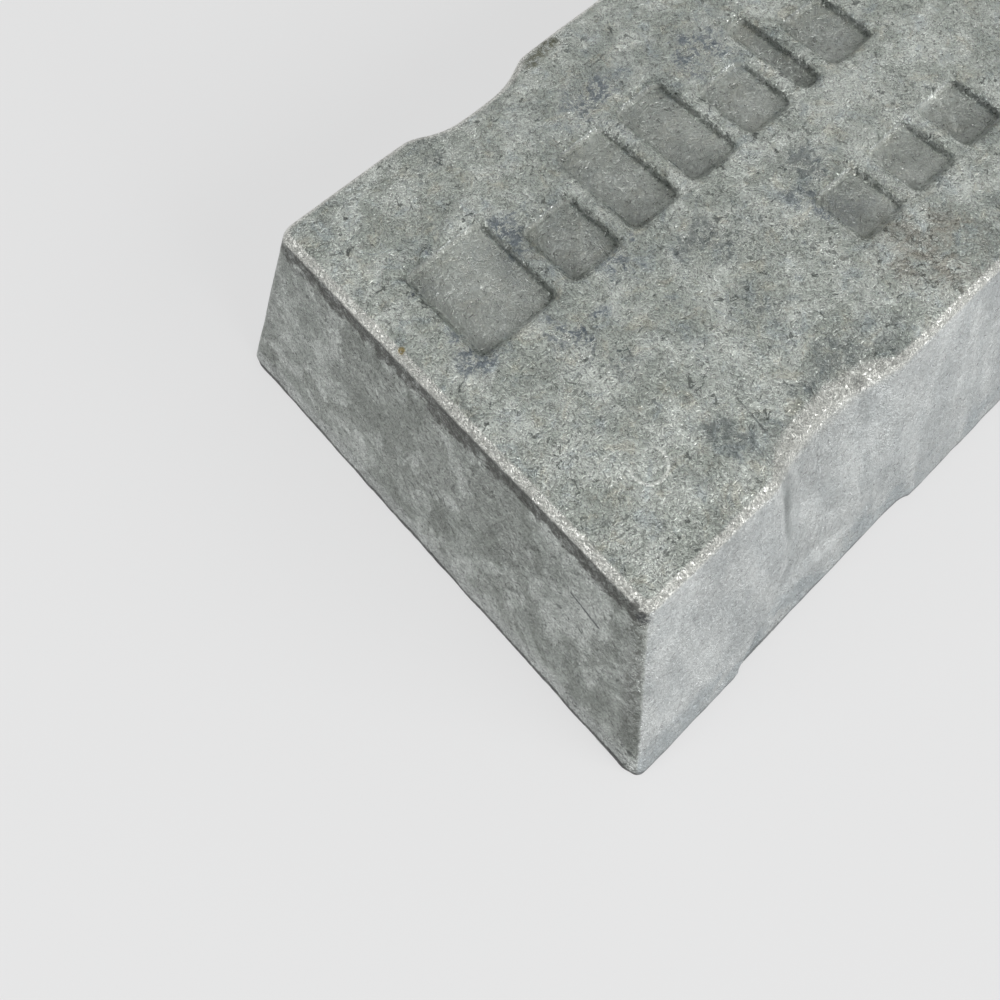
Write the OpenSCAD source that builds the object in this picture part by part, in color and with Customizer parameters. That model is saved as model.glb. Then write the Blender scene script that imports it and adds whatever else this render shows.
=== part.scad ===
// Cast zinc ingot, lying on its wide face as it is stored.
// One solid: a block with drafted sides and ends, rounded upper rims and slanted corners,
// two shallow hand notches in each long side, and plain sunk pads in the upper face.
// Origin at the middle of the base. X runs along the ingot, Z is up.

/* [Block] */
// length of the base
base_length = 336; // [250:1:460]
// width of the base
base_width = 169; // [140:1:230]
// height from the base to the upper face
height = 74; // [50:1:95]
// how far every side and end leans in, from the base to the upper face
draft_inset = 17.5; // [8:0.5:21]

/* [Edges] */
// radius round the rim of the upper face
rim_radius = 4; // [2:0.5:7]
// radius down the four slanted corners
corner_radius = 6; // [3:0.5:10]

/* [Side notches] */
// distance from the end of the upper face to the middle of a notch
notch_from_end = 64; // [52:1:78]
// length of the notch floor at the upper face
notch_floor_length = 26; // [15:1:34]
// depth of the notch at the upper face
notch_top_depth = 5.4; // [3:0.2:9]
// depth of the notch at the base
notch_base_depth = 1.4; // [0.6:0.2:2.4]
// angle of the notch end walls, away from square
notch_wall_angle = 52; // [30:1:60]
// how far the notch end walls spread towards the base, as an angle from upright
notch_flare = 7; // [0:1:15]

/* [Sunk pads] */
// depth of the pads below the upper face
pad_depth = 2.6; // [1:0.2:5]
// corner radius of a pad
pad_radius = 3; // [1:0.5:5]
// height of the tall pads of the large row
tall_pad = 34.5; // [24:0.5:37]
// height of the short pads of the large row
short_pad = 24; // [16:0.5:26]
// height of the pads of the small row
small_pad = 21; // [12:0.5:24]
// width of the first pad of the large row
first_pad_width = 27; // [20:0.5:32]
// width of the other wide pads of the large row
wide_pad_width = 18.5; // [14:0.5:21]
// width of the narrow pad of the large row
narrow_pad_width = 8.5; // [7:0.5:12]
// width of a pad of the small row
small_pad_width = 17.5; // [12:0.5:20]
// gap between the pads of a row
pad_gap = 3.5; // [2:0.5:6]
// distance from the end of the upper face to the large row
row_from_end = 13.5; // [12:0.5:24]
// distance from the end of the upper face to the small row
small_row_from_end = 106; // [90:1:120]

/* [Hidden] */
$fn = 64;
top_length = base_length - 2 * draft_inset;
top_width = base_width - 2 * draft_inset;
draft_angle = atan(draft_inset / height);
// lean of a slanted corner edge, and the length of its edge
corner_lean = atan(draft_inset * sqrt(2) / height);
corner_edge = sqrt(2 * draft_inset * draft_inset + height * height);
// half the angle inside the solid, at the rim and at the slanted corners
rim_half = (90 + draft_angle) / 2;
corner_half = acos(-sin(draft_angle) * sin(draft_angle)) / 2;
// clear run of every cutter beyond the block
over = 20;
// the rounding circle stands proud by this share, so that it crosses the flat faces cleanly
proud = 0.004;
// the large row stands above the middle line and the small row below it
row_base = 1.5;
small_row_top = -20;
// lean of the notch floor from upright
floor_lean = atan((draft_inset + notch_top_depth - notch_base_depth) / height);

// block with one width along Y and sloping sides, as long as needed along X
module sloped_prism(width_base, width_top, length) {
    translate([-length / 2, 0, 0]) rotate([90, 0, 90]) linear_extrude(length)
        polygon([[-width_base / 2, 0], [width_base / 2, 0], [width_top / 2, height], [-width_top / 2, height]]);
}

// what is taken off a sharp edge to round it; the edge is at the origin and the solid lies along -X
module edge_bite(radius, half) {
    reach = radius / sin(half);
    run = radius / tan(half);
    difference() {
        polygon([[-reach, 0], [-run * cos(half) - 0.01, run * sin(half) + 0.01], [radius, radius * 1.2],
                 [radius, -radius * 1.2], [-run * cos(half) - 0.01, -run * sin(half) - 0.01]]);
        translate([-reach, 0]) circle(radius * (1 + proud));
    }
}

// cutter that rounds the rim at +Y, along X
module rim_cutter(length, at) {
    translate([-length / 2, at, height]) rotate([90, 0, 90])
        linear_extrude(length) rotate(90 - rim_half) edge_bite(rim_radius, rim_half);
}

// cutter that rounds the slanted corner at +X +Y
module corner_cutter() {
    translate([base_length / 2, base_width / 2, 0]) rotate([0, 0, 45]) rotate([0, -corner_lean, 0])
        translate([0, 0, -over]) linear_extrude(corner_edge + 2 * over) edge_bite(corner_radius, corner_half);
}

// what lies on the -X side of a slanted plane through the origin
module beside(plan_angle, flare) {
    side = 300;
    rotate([0, -flare, 0]) rotate([0, 0, -plan_angle]) translate([-side, -side / 2, -side / 2])
        cube([side, side, side]);
}

// hand notch in the side at +Y, with its middle at X = 0
module notch_cutter() {
    half = notch_floor_length / 2;
    translate([0, top_width / 2 - notch_top_depth, height]) rotate([floor_lean, 0, 0]) intersection() {
        translate([-half * 4, 0, -height * 1.5]) cube([half * 8, height, height * 1.5 + over]);
        translate([half, 0, 0]) beside(notch_wall_angle, notch_flare);
        translate([-half, 0, 0]) mirror([1, 0, 0]) beside(notch_wall_angle, notch_flare);
    }
}

// sunk pad with its lower left corner at the origin of the upper face plan
module pad(x, y, wide, tall) {
    translate([x, y, height - pad_depth]) linear_extrude(pad_depth + over) union() {
        translate([pad_radius, 0]) square([wide - 2 * pad_radius, tall]);
        translate([0, pad_radius]) square([wide, tall - 2 * pad_radius]);
        for (cx = [pad_radius, wide - pad_radius]) for (cy = [pad_radius, tall - pad_radius])
            translate([cx, cy]) circle(pad_radius);
    }
}

// the large row has seven pads, the small row three
module pads() {
    step = wide_pad_width + pad_gap;
    second = first_pad_width + pad_gap;
    translate([-top_length / 2 + row_from_end, row_base, 0]) {
        pad(0, 0, first_pad_width, tall_pad);
        pad(second, 0, wide_pad_width, short_pad);
        pad(second + step, 0, wide_pad_width, tall_pad);
        pad(second + 2 * step, 0, wide_pad_width, tall_pad);
        pad(second + 3 * step, 0, wide_pad_width, short_pad);
        pad(second + 4 * step, 0, narrow_pad_width, tall_pad);
        pad(second + 4 * step + narrow_pad_width + pad_gap, 0, wide_pad_width, short_pad);
    }
    translate([-top_length / 2 + small_row_from_end, small_row_top - small_pad, 0])
        for (i = [0 : 2]) pad(i * (small_pad_width + pad_gap), 0, small_pad_width, small_pad);
}

module ingot() {
    color([0.62, 0.64, 0.63]) difference() {
        intersection() {
            sloped_prism(base_width, top_width, base_length + over);
            rotate([0, 0, 90]) sloped_prism(base_length, top_length, base_width + over);
        }
        rim_cutter(base_length + over, top_width / 2);
        mirror([0, 1, 0]) rim_cutter(base_length + over, top_width / 2);
        rotate([0, 0, 90]) rim_cutter(base_width + over, top_length / 2);
        rotate([0, 0, -90]) rim_cutter(base_width + over, top_length / 2);
        for (mx = [0, 1]) mirror([mx, 0, 0]) for (my = [0, 1]) mirror([0, my, 0]) {
            corner_cutter();
            translate([top_length / 2 - notch_from_end, 0, 0]) notch_cutter();
        }
        pads();
    }
}

ingot();
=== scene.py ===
import bpy
import bmesh
import math
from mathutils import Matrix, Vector


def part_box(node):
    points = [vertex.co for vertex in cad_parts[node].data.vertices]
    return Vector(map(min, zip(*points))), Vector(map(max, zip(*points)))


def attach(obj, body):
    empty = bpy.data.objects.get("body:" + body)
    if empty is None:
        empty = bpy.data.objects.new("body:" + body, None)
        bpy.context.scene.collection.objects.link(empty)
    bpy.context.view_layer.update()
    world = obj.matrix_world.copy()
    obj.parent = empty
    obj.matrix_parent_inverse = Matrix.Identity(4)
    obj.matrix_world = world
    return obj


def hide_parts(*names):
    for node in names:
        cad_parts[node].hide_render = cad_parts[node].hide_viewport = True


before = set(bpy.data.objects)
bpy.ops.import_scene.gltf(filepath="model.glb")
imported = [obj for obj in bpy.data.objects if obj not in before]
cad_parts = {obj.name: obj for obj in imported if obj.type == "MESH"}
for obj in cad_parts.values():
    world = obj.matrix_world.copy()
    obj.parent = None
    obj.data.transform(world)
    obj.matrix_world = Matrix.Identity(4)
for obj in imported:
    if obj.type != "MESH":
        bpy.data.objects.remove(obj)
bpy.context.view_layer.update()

MM = 0.001
low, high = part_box("ingot")

# the block: its base, its upper face, the lean of its walls and its rounded edges
BASE_L, BASE_W, TALL = high[0] - low[0], high[1] - low[1], high[2] - low[2]
DRAFT = 17.5 * MM
TOP_L, TOP_W = BASE_L - 2 * DRAFT, BASE_W - 2 * DRAFT
CORNER_BEVEL, RIM_BEVEL = 3.72 * MM, 2.8 * MM
# the notches: distance from the end, half width, depths, lean of their ends, spread of their foot
NOTCH_IN, NOTCH_HALF = 64 * MM, 13 * MM
NOTCH_TOP, NOTCH_BASE = 5.4 * MM, 1.4 * MM
NOTCH_WALL, NOTCH_FLARE = math.radians(52), math.radians(7)
NOTCH_KNEE, FOOT_OUT, FOOT_IN = 30 * MM, 24 * MM, 7 * MM
# the sunk pads
PAD_DEPTH, PAD_CORNER = 2.6 * MM, 2.4 * MM
PAD_STEEP, PAD_GENTLE = 0.9 * MM, 2.2 * MM
# the cast skin
VOXEL = 1.05 * MM
FLAT_FOOT = 0.9 * MM
MOST_TRIANGLES = 192000


# ---------------------------------------------------------------- hand tools

def pick_nothing():
    if bpy.context.object and bpy.context.object.mode != "OBJECT":
        bpy.ops.object.mode_set(mode="OBJECT")
    bpy.ops.object.select_all(action="DESELECT")


def block(name, size, middle):
    """A new box of a size at a place, with the place in its mesh."""
    pick_nothing()
    bpy.ops.mesh.primitive_cube_add(size=1, location=middle, scale=size)
    ob = bpy.context.object
    ob.name = ob.data.name = name
    bpy.ops.object.transform_apply(location=True, rotation=True, scale=True)
    return ob


def work_on(ob):
    pick_nothing()
    ob.select_set(True)
    bpy.context.view_layer.objects.active = ob
    bpy.ops.object.mode_set(mode="EDIT")
    bpy.ops.mesh.select_mode(type="VERT")
    bpy.ops.mesh.select_all(action="DESELECT")


def pick_points(ob, rule):
    bpy.ops.mesh.select_mode(type="VERT")
    bm = bmesh.from_edit_mesh(ob.data)
    for v in bm.verts:
        v.select = bool(rule(v.co))
    bm.select_flush_mode()
    bmesh.update_edit_mesh(ob.data)


def pick_edges(ob, rule):
    bpy.ops.mesh.select_mode(type="EDGE")
    bm = bmesh.from_edit_mesh(ob.data)
    for e in bm.edges:
        e.select = bool(rule(e.verts[0].co, e.verts[1].co))
    bm.select_flush_mode()
    bmesh.update_edit_mesh(ob.data)


def shift(by):
    bpy.ops.transform.translate(value=by)


def done():
    bpy.ops.object.mode_set(mode="OBJECT")


def apply_all(ob):
    pick_nothing()
    ob.select_set(True)
    bpy.context.view_layer.objects.active = ob
    for m in list(ob.modifiers):
        bpy.ops.object.modifier_apply(modifier=m.name)


def cut(ob, cutter):
    m = ob.modifiers.new("cut", "BOOLEAN")
    m.operation, m.solver, m.object = "DIFFERENCE", "EXACT", cutter
    apply_all(ob)
    bpy.data.objects.remove(cutter)


# ---------------------------------------------------------------- the block

def cast_block():
    ob = block("cast_ingot", (BASE_L, BASE_W, TALL), (0, 0, TALL / 2))
    work_on(ob)
    pick_points(ob, lambda p: p.z > TALL / 2)
    bpy.ops.transform.resize(value=(TOP_L / BASE_L, TOP_W / BASE_W, 1), center_override=(0, 0, TALL))
    pick_edges(ob, lambda a, b: abs(a.z - b.z) > TALL / 2)
    bpy.ops.mesh.bevel(offset=CORNER_BEVEL, segments=6, profile=0.5, affect="EDGES")
    pick_edges(ob, lambda a, b: min(a.z, b.z) > TALL - 1e-5)
    bpy.ops.mesh.bevel(offset=RIM_BEVEL, segments=5, profile=0.5, affect="EDGES")
    done()
    return ob


def notch_cutter(x, side):
    """A wedge with sloping ends that stands against one long side, wider towards the base."""
    below, above, out = 6 * MM, 8 * MM, 40 * MM
    ob = block("notch", (2 * NOTCH_HALF, out, TALL + below + above),
               (x, side * (TOP_W / 2 + out / 2), TALL / 2 + (above - below) / 2))
    slope = ((BASE_W / 2 - NOTCH_BASE) - (TOP_W / 2 - NOTCH_TOP)) / TALL
    work_on(ob)
    for end in (-1, 1):
        for up in (False, True):
            for outer in (False, True):
                z = TALL + above if up else -below
                pick_points(ob, lambda p: (p.x - x) * end > 0 and (p.z > TALL / 2) == up
                            and (abs(p.y) > TOP_W / 2 + out / 2) == outer)
                reach = out * outer
                y_to = TOP_W / 2 - NOTCH_TOP + (TALL - z) * slope + reach
                y_is = TOP_W / 2 + out * outer
                half = NOTCH_HALF + (TALL - z) * math.tan(NOTCH_FLARE) + reach * math.tan(NOTCH_WALL)
                shift((end * (half - NOTCH_HALF), side * (y_to - y_is), 0))
    # the foot spreads below a knee, further towards the end than towards the middle
    bpy.ops.mesh.select_all(action="SELECT")
    bpy.ops.mesh.bisect(plane_co=(0, 0, NOTCH_KNEE), plane_no=(0, 0, 1))
    outward = 1 if x > 0 else -1
    pick_points(ob, lambda p: p.z < 0 and (p.x - x) * outward > 0)
    shift((outward * FOOT_OUT, 0, 0))
    pick_points(ob, lambda p: p.z < 0 and (p.x - x) * outward < 0)
    shift((-outward * FOOT_IN, 0, 0))
    inner = lambda p: abs(p.y) < TOP_W / 2 + out / 2 - 5 * MM
    pick_edges(ob, lambda a, b: abs(a.z - b.z) > 20 * MM and inner(a) and inner(b))
    bpy.ops.mesh.bevel(offset=7 * MM, segments=6, profile=0.5, affect="EDGES")
    done()
    return ob


def pad_rows():
    """Left, bottom, width and height of every sunk pad, on the upper face."""
    gap, wide = 3.5, 18.5
    x, y, rows = -TOP_L / 2 / MM + 13.5, 1.5, []
    for width, tall in ((27, 34.5), (wide, 24), (wide, 34.5), (wide, 34.5), (wide, 24),
                        (8.5, 34.5), (wide, 24)):
        rows.append((x, y, width, tall))
        x += width + gap
    small, low_row = 17.5, -41
    x = -TOP_L / 2 / MM + 106
    for _ in range(3):
        rows.append((x, low_row, small, 21))
        x += small + gap
    return [[v * MM for v in row] for row in rows]


def pad_cutter(x, y, wide, tall):
    """A pad with drafted walls and rounded corners."""
    proud = 3 * MM
    ob = block("pad", (wide, tall, PAD_DEPTH + proud),
               (x + wide / 2, y + tall / 2, TALL - PAD_DEPTH / 2 + proud / 2))
    work_on(ob)
    pick_points(ob, lambda p: p.z < TALL)
    bpy.ops.transform.resize(value=(1 - 2 * PAD_STEEP / wide, 1 - 2 * PAD_GENTLE / tall, 1),
                             center_override=(x + wide / 2, y + tall / 2, TALL - PAD_DEPTH))
    pick_edges(ob, lambda a, b: abs(a.z - b.z) > PAD_DEPTH)
    bpy.ops.mesh.bevel(offset=PAD_CORNER, segments=4, profile=0.5, affect="EDGES")
    done()
    return ob


ingot = cast_block()
for end in (-1, 1):
    for side in (-1, 1):
        cut(ingot, notch_cutter(end * (TOP_L / 2 - NOTCH_IN), side))
pads = [pad_cutter(*row) for row in pad_rows()]
pick_nothing()
for p in pads:
    p.select_set(True)
bpy.context.view_layer.objects.active = pads[0]
bpy.ops.object.join()
cut(ingot, bpy.context.object)

# ---------------------------------------------------------------- cast skin

remesh = ingot.modifiers.new("even", "REMESH")
remesh.mode, remesh.voxel_size, remesh.adaptivity = "VOXEL", VOXEL, 0.0
apply_all(ingot)


def group_by(ob, name, rule):
    """A vertex group whose weight comes from place and normal."""
    g = ob.vertex_groups.new(name=name)
    for v in ob.data.vertices:
        w = rule(v.co, v.normal)
        if w > 0.001:
            g.add([v.index], min(w, 1.0), "REPLACE")
    return g


def ramp(value, start, end):
    t = min(max((value - start) / (end - start), 0.0), 1.0)
    return t * t * (3 - 2 * t)


def from_notch(p):
    """Distance along the block from the nearest notch, and in from the long side."""
    lean = (TALL - p.z) * DRAFT / TALL
    return abs(abs(p.x) - (TOP_L / 2 - NOTCH_IN)), TOP_W / 2 + lean - abs(p.y)


def near_notch(p):
    """1 in and beside a notch, 0 away from it."""
    along, deep = from_notch(p)
    return ramp(along, 34 * MM, 20 * MM) * ramp(deep, 14 * MM, 7 * MM)


def notch_rim(p):
    """1 on the upper rim inside a notch, where the cast edge is wide and soft."""
    along, deep = from_notch(p)
    high_up = ramp(p.z, TALL - 16 * MM, TALL - 8 * MM)
    wide = ramp(along, 22 * MM, 13 * MM) * ramp(deep, 15 * MM, 10 * MM) * high_up
    return wide if p.y < 0 else 0.15 * wide


group_by(ingot, "notches", lambda p, n: near_notch(p))
group_by(ingot, "notch_rims", lambda p, n: notch_rim(p))
for name, strength, rounds, group in (("soft_notches", 0.6, 22, "notches"),
                                      ("soft_notch_rims", 0.9, 150, "notch_rims"),
                                      ("soft_edges", 0.5, 2, "")):
    soft = ingot.modifiers.new(name, "SMOOTH")
    soft.factor, soft.iterations, soft.vertex_group = strength, rounds, group
apply_all(ingot)

group_by(ingot, "upper", lambda p, n: ramp(n.z, 0.55, 0.85))
group_by(ingot, "walls", lambda p, n: ramp(n.z, 0.75, 0.45) * ramp(n.z, -0.7, -0.3))
group_by(ingot, "foot", lambda p, n: ramp(p.z, 16 * MM, 3 * MM) * ramp(n.z, -0.7, -0.3))


def uneven(ob, name, size, strength, group=None):
    """Lumps of a size, pushed out and in by up to half of a strength."""
    t = bpy.data.textures.new(name, "CLOUDS")
    t.noise_scale, t.noise_depth, t.noise_basis = size, 2, "BLENDER_ORIGINAL"
    m = ob.modifiers.new(name, "DISPLACE")
    m.texture, m.texture_coords, m.strength, m.mid_level = t, "LOCAL", strength, 0.5
    if group:
        m.vertex_group = group


uneven(ingot, "sway", 70 * MM, 0.4 * MM)
uneven(ingot, "lumps_upper", 12 * MM, 0.16 * MM, "upper")
uneven(ingot, "ripple_upper", 3.0 * MM, 0.26 * MM, "upper")
uneven(ingot, "lumps_walls", 22 * MM, 0.35 * MM, "walls")
uneven(ingot, "ripple_walls", 4.0 * MM, 0.12 * MM, "walls")
uneven(ingot, "ragged_foot", 6 * MM, 0.35 * MM, "foot")
apply_all(ingot)

# the base is flat again, so the block stands on its whole foot
work_on(ingot)
pick_points(ingot, lambda p: p.z < FLAT_FOOT)
bpy.ops.transform.resize(value=(1, 1, 0), center_override=(0, 0, 0))
done()

triangles = sum(len(p.vertices) - 2 for p in ingot.data.polygons)
if triangles > MOST_TRIANGLES:
    thin = ingot.modifiers.new("thin", "DECIMATE")
    thin.ratio = MOST_TRIANGLES / triangles
    apply_all(ingot)
for face in ingot.data.polygons:
    face.use_smooth = True
print("triangles", triangles, "->", sum(len(p.vertices) - 2 for p in ingot.data.polygons))


# ---------------------------------------------------------------- cast zinc

class Sheet:
    """A node tree that nodes are laid out in."""

    def __init__(self, tree):
        self.tree, self.nodes, self.links = tree, tree.nodes, tree.links

    def add(self, kind, **values):
        n = self.nodes.new(kind)
        for k, v in values.items():
            setattr(n, k, v)
        return n

    def put(self, socket, value):
        if isinstance(value, bpy.types.NodeSocket):
            self.links.new(value, socket)
        else:
            socket.default_value = value

    def math(self, how, a, b=0.0, clamp=False):
        n = self.add("ShaderNodeMath", operation=how, use_clamp=clamp)
        self.put(n.inputs[0], a)
        self.put(n.inputs[1], b)
        return n.outputs[0]

    def times(self, *values):
        """All the values multiplied together."""
        total = values[0]
        for v in values[1:]:
            total = self.math("MULTIPLY", total, v)
        return total

    def most(self, *values):
        """The largest of the values."""
        top = values[0]
        for v in values[1:]:
            top = self.math("MAXIMUM", top, v)
        return top

    def flip(self, value):
        return self.math("SUBTRACT", 1.0, value)

    def span(self, value, a, b, c=0.0, d=1.0):
        """A soft step from c, where the value is a, to d, where it is b."""
        n = self.add("ShaderNodeMapRange", interpolation_type="SMOOTHSTEP")
        for i, v in enumerate((value, a, b, c, d)):
            self.put(n.inputs[i], v)
        return n.outputs[0]

    def vector(self, how, a, b):
        n = self.add("ShaderNodeVectorMath", operation=how)
        self.put(n.inputs[0], a)
        self.put(n.inputs["Scale" if how == "SCALE" else 1], b)
        return n.outputs["Value" if how in ("DOT_PRODUCT", "DISTANCE") else "Vector"]

    def parts(self, vector):
        n = self.add("ShaderNodeSeparateXYZ")
        self.links.new(vector, n.inputs[0])
        return n.outputs

    def noise(self, place, scale, detail=2.0, rough=0.5, warp=0.0):
        n = self.add("ShaderNodeTexNoise")
        self.put(n.inputs["Vector"], place)
        for k, v in (("Scale", scale), ("Detail", detail), ("Roughness", rough), ("Distortion", warp)):
            self.put(n.inputs[k], v)
        return n.outputs["Fac"]

    def stretch(self, place, scale):
        n = self.add("ShaderNodeMapping")
        self.put(n.inputs["Vector"], place)
        n.inputs["Scale"].default_value = scale
        return n.outputs[0]

    def mix(self, share, a, b, how="MIX"):
        n = self.add("ShaderNodeMix", data_type="RGBA", blend_type=how)
        self.put(n.inputs["Factor"], share)
        self.put(n.inputs["A"], a)
        self.put(n.inputs["B"], b)
        return n.outputs["Result"]

    def spot(self, place, middle, reach, edge=0.5, ragged=0.0):
        """1 at a point given in mm, fading to 0 at its reach."""
        gap = self.math("ADD", self.vector("DISTANCE", place, Vector(middle) * MM), ragged)
        return self.span(gap, reach * MM, reach * edge * MM)

    def spots(self, place, edge, ragged, rows):
        """Spots on the upper face, each row an x, a y and a reach in mm."""
        level = TALL / MM
        return self.most(*[self.spot(place, (x, y, level), reach, edge, ragged) for x, y, reach in rows])

    def stroke(self, place, start, end, half):
        """1 on the line between two points given in mm, 0 half a width away."""
        start, end = Vector(start) * MM, Vector(end) * MM
        way = (end - start).normalized()
        off = self.vector("SUBTRACT", place, start)
        along = self.most(self.vector("DOT_PRODUCT", off, way), 0.0)
        along = self.math("MINIMUM", along, (end - start).length)
        reach = self.add("ShaderNodeVectorMath", operation="SCALE")
        reach.inputs[0].default_value = way
        self.links.new(along, reach.inputs["Scale"])
        gap = self.vector("DISTANCE", off, reach.outputs["Vector"])
        return self.span(gap, half * MM, half * 0.3 * MM)


def shade(r, g, b):
    """An eye colour, 0 to 255, as light."""
    def one(v):
        v /= 255
        return v / 12.92 if v <= 0.04045 else ((v + 0.055) / 1.055) ** 2.4
    return (one(r), one(g), one(b), 1.0)


def cast_zinc():
    mat = bpy.data.materials.new("cast_zinc")
    mat.use_nodes = True
    s = Sheet(mat.node_tree)
    s.nodes.clear()
    out = s.add("ShaderNodeOutputMaterial")
    metal = s.add("ShaderNodeBsdfPrincipled")
    s.links.new(metal.outputs[0], out.inputs[0])
    place = s.add("ShaderNodeTexCoord").outputs["Object"]
    nx, ny, nz = s.parts(s.add("ShaderNodeNewGeometry").outputs["Normal"])
    x, y, z = s.parts(place)

    # where on the block: upper face, walls, ends, long sides, rim and foot
    up = s.span(nz, 0.45, 0.8)
    wall = s.flip(up)
    end = s.times(s.span(s.math("ABSOLUTE", nx), 0.55, 0.8), wall)
    side = s.times(s.span(s.math("ABSOLUTE", ny), 0.55, 0.8), wall)
    lean = s.math("MULTIPLY", s.math("SUBTRACT", TALL, z), DRAFT / TALL)
    from_end = s.math("SUBTRACT", s.math("ADD", lean, TOP_L / 2), s.math("ABSOLUTE", x))
    from_side = s.math("SUBTRACT", s.math("ADD", lean, TOP_W / 2), s.math("ABSOLUTE", y))
    below = s.math("SUBTRACT", TALL, z)
    outside = s.span(s.math("MINIMUM", from_end, from_side), 12 * MM, 9 * MM)

    # grain at several sizes
    broad = s.noise(place, 30.0, 5.0, 0.64, 0.6)
    cloud = s.noise(place, 80.0, 5.0, 0.68, 0.5)
    speck = s.noise(place, 560.0, 3.0, 0.7, 0.8)
    grain = s.noise(s.stretch(place, (1.15, 0.75, 0.9)), 960.0, 2.0, 0.5, 2.4)
    ragged = s.math("MULTIPLY", s.math("SUBTRACT", s.noise(place, 150.0, 4.0, 0.7, 0.3), 0.5), 9 * MM)

    rim = s.times(s.span(nz, 0.24, 0.48), s.span(nz, 0.97, 0.88), outside, s.span(below, 16 * MM, 9 * MM))
    under = s.times(s.span(s.math("ADD", below, s.math("MULTIPLY", ragged, 2.0)), 9 * MM, 7 * MM),
                    s.span(nz, 0.5, 0.32), end)
    marked = s.times(s.flip(outside), s.span(below, 0.8 * MM, 1.8 * MM), s.span(below, 6 * MM, 4 * MM))

    # upper face
    colour = s.mix(s.span(cloud, 0.4, 0.6), shade(166, 171, 164), shade(197, 201, 195))
    colour = s.mix(s.times(s.span(broad, 0.5, 0.36), 0.45), colour, shade(134, 141, 138))
    tint = s.noise(place, 150.0, 4.0, 0.72, 0.6)
    colour = s.mix(s.times(s.span(tint, 0.54, 0.66), 0.26), colour, shade(186, 178, 156))
    colour = s.mix(s.times(s.span(tint, 0.46, 0.34), 0.3), colour, shade(152, 164, 172))
    # long sides, smooth and pale with faint upright streaks
    runs = s.noise(s.stretch(place, (1.0, 1.0, 0.2)), 120.0, 4.0, 0.6, 0.4)
    pale = s.mix(s.span(runs, 0.35, 0.65), shade(173, 177, 177), shade(193, 196, 195))
    foot = s.span(s.math("ADD", z, ragged), 17 * MM, 9 * MM)
    pale = s.mix(s.times(foot, s.span(cloud, 0.42, 0.56), 0.5), pale, shade(152, 161, 165))
    colour = s.mix(side, colour, pale)
    # ends, painted darker overall than the upper face as painted shade, with ragged patches of dull skin
    # and a paler strip along the foot
    patch = s.noise(s.stretch(place, (1.0, 1.0, 0.7)), 42.0, 5.0, 0.7, 0.5)
    less_outward = s.span(s.math("ABSOLUTE", y), 15 * MM, 60 * MM, 0.0, 0.04)
    dull = s.span(s.math("ADD", patch, less_outward), 0.535, 0.495)
    end_skin_and_shade = s.mix(s.span(cloud, 0.4, 0.6), shade(146, 151, 146), shade(180, 184, 180))
    end_skin_and_shade = s.mix(s.times(dull, s.span(speck, 0.3, 0.55, 1.0, 0.65), 0.72), end_skin_and_shade, shade(104, 109, 102))
    strip = s.span(s.math("ADD", z, s.math("MULTIPLY", ragged, 0.5)), 9 * MM, 6.5 * MM)
    end_skin_and_shade = s.mix(s.times(strip, 0.6), end_skin_and_shade, shade(176, 179, 177))
    colour = s.mix(end, colour, end_skin_and_shade)
    # speckle over everything, faint on the long sides: grain tone, with painted glints and painted shade
    # of the fine relief
    depth = s.span(side, 0.0, 1.0, 1.0, 0.55)
    grain_and_glint_flecks = s.times(s.span(speck, 0.36, 0.6, 0.8, 1.14), s.span(grain, 0.38, 0.56, 0.7, 1.2))
    colour = s.mix(depth, colour, s.mix(1.0, colour, grain_and_glint_flecks, "MULTIPLY"))
    # clusters of dark pits, then bluish smudges and darker grime, and one rough brown patch with cracks
    pits = s.most(s.times(s.span(broad, 0.5, 0.6), s.span(speck, 0.55, 0.6), 0.8),
                  s.span(s.noise(place, 320.0, 4.0, 0.7, 0.7), 0.62, 0.655))
    pits = s.times(pits, s.span(side, 0.0, 1.0, 0.75, 0.1), s.span(marked, 0.0, 1.0, 1.0, 0.35))
    colour = s.mix(pits, colour, shade(70, 75, 72))
    torn = s.math("MULTIPLY", ragged, 3.0)
    smudges = s.spots(place, 0.2, torn, (
        (-109, 23, 13), (-114, -6, 12), (-135, 30, 10), (-137, 6, 9), (-88, 0, 13), (-31, 34, 16),
        (-62, 42, 14), (-40, -26, 15), (20, 28, 15), (60, -12, 18), (110, 20, 16)))
    smudges = s.times(smudges, up, s.span(cloud, 0.46, 0.54), s.span(speck, 0.45, 0.52))
    colour = s.mix(s.times(smudges, 0.8), colour, shade(88, 98, 108))
    grime = s.spots(place, 0.3, torn, (
        (-73, -10, 11), (-89, -58, 7), (-74, -54, 8), (-109, -50, 6), (-66, -62, 7), (-76, -32, 9),
        (-108, 60, 9), (-112, -20, 7), (-38, -14, 10), (44, -50, 12), (96, -24, 12), (124, 40, 10)))
    mottle = s.math("ADD", s.math("MULTIPLY", cloud, 0.5), s.math("MULTIPLY", speck, 0.5))
    grime = s.times(grime, up, s.span(mottle, 0.48, 0.53))
    colour = s.mix(s.times(grime, 0.65), colour, shade(80, 88, 88))
    rough = s.times(s.spot(place, (-34, -52, 74), 20, 0.4, torn), up)
    crack = s.span(s.math("ABSOLUTE", s.math("SUBTRACT", cloud, 0.5)), 0.016, 0.005)
    colour = s.mix(s.times(rough, s.span(tint, 0.42, 0.58), 0.5), colour, shade(156, 150, 138))
    colour = s.mix(s.times(rough, crack, s.span(speck, 0.36, 0.5), 0.75), colour, shade(66, 66, 60))
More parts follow.
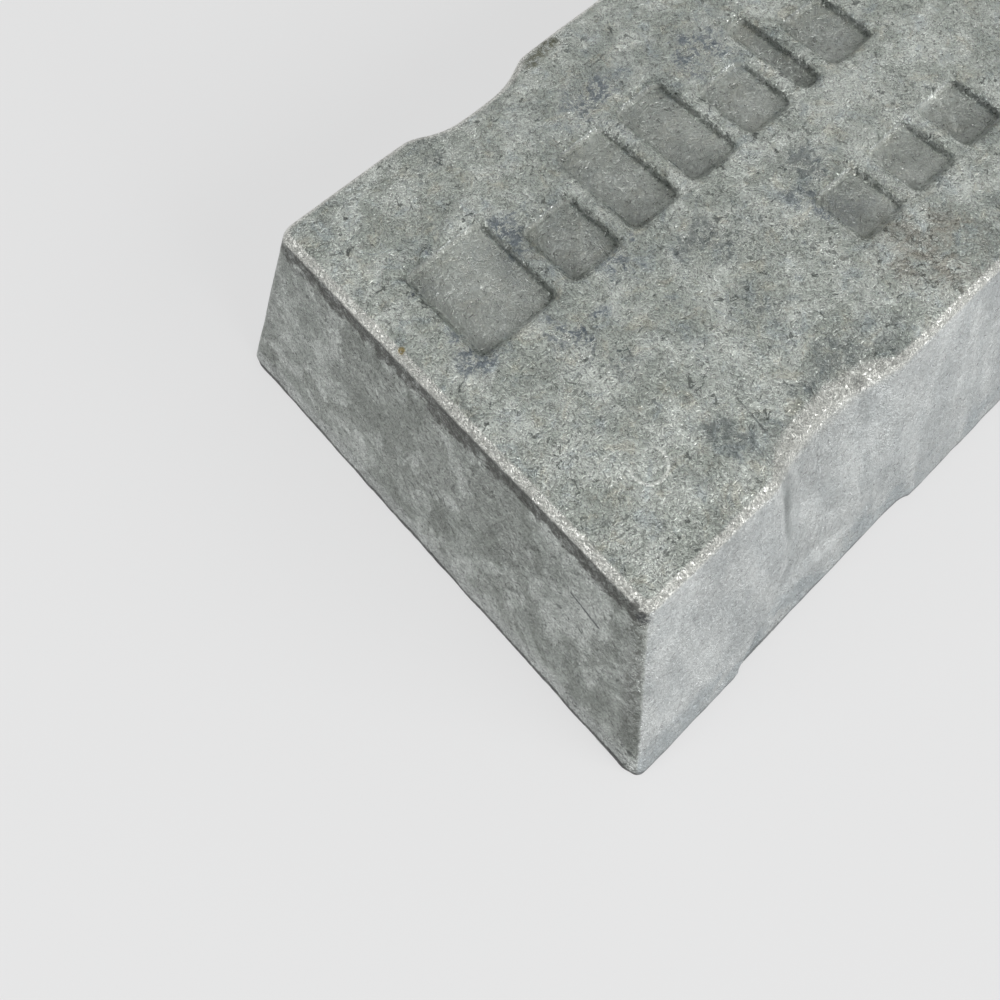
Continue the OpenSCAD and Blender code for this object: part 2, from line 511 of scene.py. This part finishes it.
    # pad walls and floors: painted shade on the pad walls that face -x and a painted highlight on those
    # that face -y, lighter floors; then the worn rim with a painted highlight, and the dark rough line
    # under it on the ends
    pad_wall_painted_shade = s.times(marked, s.span(nz, 0.9, 0.75), s.span(nx, -0.2, -0.45))
    colour = s.mix(s.times(pad_wall_painted_shade, 0.6), colour, shade(96, 100, 96))
    pad_wall_painted_highlight = s.times(marked, s.span(nz, 0.93, 0.82), s.span(ny, -0.15, -0.4))
    colour = s.mix(s.times(pad_wall_painted_highlight, 0.6), colour, shade(226, 228, 222))
    colour = s.mix(s.times(marked, s.span(nz, 0.88, 0.95), 0.5), colour, shade(214, 217, 212))
    colour = s.mix(s.times(under, s.span(speck, 0.4, 0.5, 0.3, 1.0), 0.88), colour, shade(58, 59, 54))
    # the rim is worn paler, and lightened further as a painted highlight
    worn_rim_and_highlight = s.mix(s.span(grain, 0.34, 0.6), shade(172, 173, 167), shade(240, 240, 234))
    colour = s.mix(s.times(rim, 0.9), colour, worn_rim_and_highlight)
    # dark on the notch wall that faces the middle: partly a stain, partly painted shade in the crease
    inward = s.math("MULTIPLY", s.math("SIGN", x), nx)
    notch_stain_and_shade = s.times(s.span(inward, -0.26, -0.5), wall, s.span(from_end, 20 * MM, 30 * MM),
                    s.span(z, 20 * MM, 50 * MM), s.span(below, 2 * MM, 14 * MM, 0.35, 1.0))
    colour = s.mix(s.times(notch_stain_and_shade, 0.8), colour, shade(88, 94, 93))
    smear = s.stroke(place, (-74.5, -62.5, 71), (-72.5, -67, 54), 2.4)
    smear = s.times(smear, s.span(speck, 0.4, 0.54), 0.5)
    colour = s.mix(smear, colour, shade(96, 100, 98))
    # rough dark streak down the slanted corners, on the end side
    corner = s.times(s.span(s.math("ADD", from_side, s.math("MULTIPLY", ragged, 1.2)), 8 * MM, 4 * MM),
                     end, s.span(speck, 0.42, 0.56), s.span(z, 6 * MM, 22 * MM),
                     s.span(y, 0.0, 30 * MM, 1.0, 0.35))
    colour = s.mix(s.times(corner, 0.7), colour, shade(76, 77, 72))
    # painted contact shadow: a thin dark line along the foot, where the base edge meets the floor
    painted_contact_shadow = s.times(s.span(s.math("ADD", z, s.math("MULTIPLY", ragged, 0.35)), 2.5 * MM, 1.5 * MM), wall,
                   s.span(end, 0.0, 1.0, 0.65, 1.0))
    colour = s.mix(s.times(painted_contact_shadow, 0.9), colour, shade(36, 37, 37))
    # small marks that the block carries
    nick = s.stroke(place, (-155.8, -48.2, 51.5), (-156.3, -57.8, 49.4), 0.6)
    scrape = s.stroke(place, (-99.7, -46.2, 74), (-101.7, -61, 74), 0.4)
    broken = s.span(speck, 0.34, 0.5)
    facet = s.times(s.spot(place, (-152.5, -67.5, 69), 3.6, 0.5), s.span(nz, 0.6, 0.4), broken)
    colour = s.mix(s.times(s.most(nick, s.times(scrape, 0.6), facet), 0.85), colour, shade(52, 56, 60))
    yellow = s.times(s.spot(place, (-149.2, 18.4, 73.6), 1.3), broken, 0.85)
    colour = s.mix(yellow, colour, shade(138, 120, 62))
    colour = s.mix(s.times(s.spot(place, (-152.0, -55.3, 73), 1.2), 0.8), colour, shade(132, 98, 62))
    olive = s.times(s.stroke(place, (-66, 62.5, 74), (-57, 64.5, 74), 3.4), s.span(speck, 0.4, 0.55))
    colour = s.mix(s.times(olive, 0.75), colour, shade(82, 82, 58))
    # open ring left by a round tool
    middle, radius = Vector((-126.6, -43.6, 0)) * MM, 4.6 * MM
    open_side = s.span(y, -39.6 * MM, -42.2 * MM)
    flat = s.vector("MULTIPLY", place, (1.0, 1.0, 0.0))
    away = s.math("ADD", s.vector("DISTANCE", flat, middle), s.math("MULTIPLY", ragged, 0.15))
    ring_gap = s.math("ABSOLUTE", s.math("SUBTRACT", away, radius))
    ring = s.times(s.span(ring_gap, 0.6 * MM, 0.15 * MM), open_side, up,
                   s.span(speck, 0.36, 0.5, 0.3, 1.0))
    colour = s.mix(s.times(ring, 0.8), colour, shade(238, 240, 234))

    s.put(metal.inputs["Base Color"], colour)
    metal.inputs["Metallic"].default_value = 0.8
    s.put(metal.inputs["Roughness"], s.span(speck, 0.3, 0.7, 0.26, 0.42))

    # fine relief, from simpler masks than the colours, as relief is worked out three times over
    swell = s.noise(place, 30.0, 1.0, 0.64, 0.6)
    amount = s.times(s.span(side, 0.0, 1.0, 1.3, 0.6), s.span(end, 0.0, 1.0, 1.0, 0.95),
                     s.span(swell, 0.38, 0.6, 1.5, 0.6))
    low_side = s.times(s.span(z, 17 * MM, 9 * MM), side, 0.9)
    lip = s.times(s.span(below, 9 * MM, 6.5 * MM), s.span(nz, 0.5, 0.32), end, 1.3)
    amount = s.most(amount, s.times(rim, 0.95), low_side, lip, s.times(notch_stain_and_shade, 0.5))
    worms = s.math("MULTIPLY", s.span(grain, 0.32, 0.64), 0.62)
    height = s.math("SUBTRACT", s.math("ADD", worms, s.math("MULTIPLY", speck, 0.9)), 0.75)
    groove = s.math("ABSOLUTE", s.math("SUBTRACT", s.vector("DISTANCE", flat, middle), radius))
    groove = s.times(s.span(groove, 0.6 * MM, 0.15 * MM), open_side, up, 0.4)
    height = s.math("ADD", s.math("MULTIPLY", height, amount), groove)
    height = s.math("SUBTRACT", height, s.math("MULTIPLY", s.most(nick, scrape), 0.35))
    bump = s.add("ShaderNodeBump")
    bump.inputs["Distance"].default_value = 0.85 * MM
    bump.inputs["Strength"].default_value = 1.0
    s.put(bump.inputs["Height"], height)
    s.put(metal.inputs["Normal"], bump.outputs[0])
    return mat


ingot.data.materials.clear()
ingot.data.materials.append(cast_zinc())
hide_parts("ingot")
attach(ingot, "root")

# ---------------------------------------------------------------- floor, light, camera

pick_nothing()
bpy.ops.mesh.primitive_plane_add(size=8, location=(0, 0, 0))
floor = bpy.context.object
floor.name = "floor"
paper = bpy.data.materials.new("pale_floor")
paper.use_nodes = True
sheet = paper.node_tree.nodes["Principled BSDF"].inputs
sheet["Base Color"].default_value = (0.18, 0.18, 0.181, 1)
sheet["Roughness"].default_value = 0.9
sheet["Specular IOR Level"].default_value = 0.1
sheet["Emission Color"].default_value = (1, 1, 1, 1)
sheet["Emission Strength"].default_value = 0.605
floor.data.materials.append(paper)


def lamp(name, place, aim, size, power):
    """A square area light at a place, turned to its aim."""
    data = bpy.data.lights.new(name, "AREA")
    data.shape, data.size, data.energy = "SQUARE", size, power
    ob = bpy.data.objects.new(name, data)
    bpy.context.collection.objects.link(ob)
    ob.location = place
    ob.rotation_euler = (Vector(aim) - Vector(place)).to_track_quat("-Z", "Y").to_euler()


lamp("key", (0.35, -1.5, 0.75), (0, 0, 0), 1.5, 31)
lamp("left", (-1.15, 0.15, 0.5), (-0.15, 0, 0.05), 0.8, 6)
world = bpy.data.worlds.new("studio")
world.use_nodes = True
sky = Sheet(world.node_tree)
heading = sky.parts(sky.add("ShaderNodeTexCoord").outputs["Generated"])[2]
air = world.node_tree.nodes["Background"]
air.inputs["Color"].default_value = (0.98, 0.99, 1.0, 1)
sky.put(air.inputs["Strength"], sky.span(heading, 0.3, 0.75, 0.85, 0.3))
bpy.context.scene.world = world
bpy.context.scene.view_settings.view_transform = "Standard"

eye = bpy.data.cameras.new("camera")
camera = bpy.data.objects.new("camera", eye)
bpy.context.collection.objects.link(camera)
camera.location = (-0.2068, -0.1059, 0.3371)
camera.rotation_euler = [math.radians(a) for a in (30.978, 1.409, -42.999)]
eye.lens, eye.sensor_width = 43.49, 36.0
eye.shift_x, eye.shift_y = -0.05, -0.25
eye.clip_start, eye.clip_end = 0.01, 50
bpy.context.scene.camera = camera
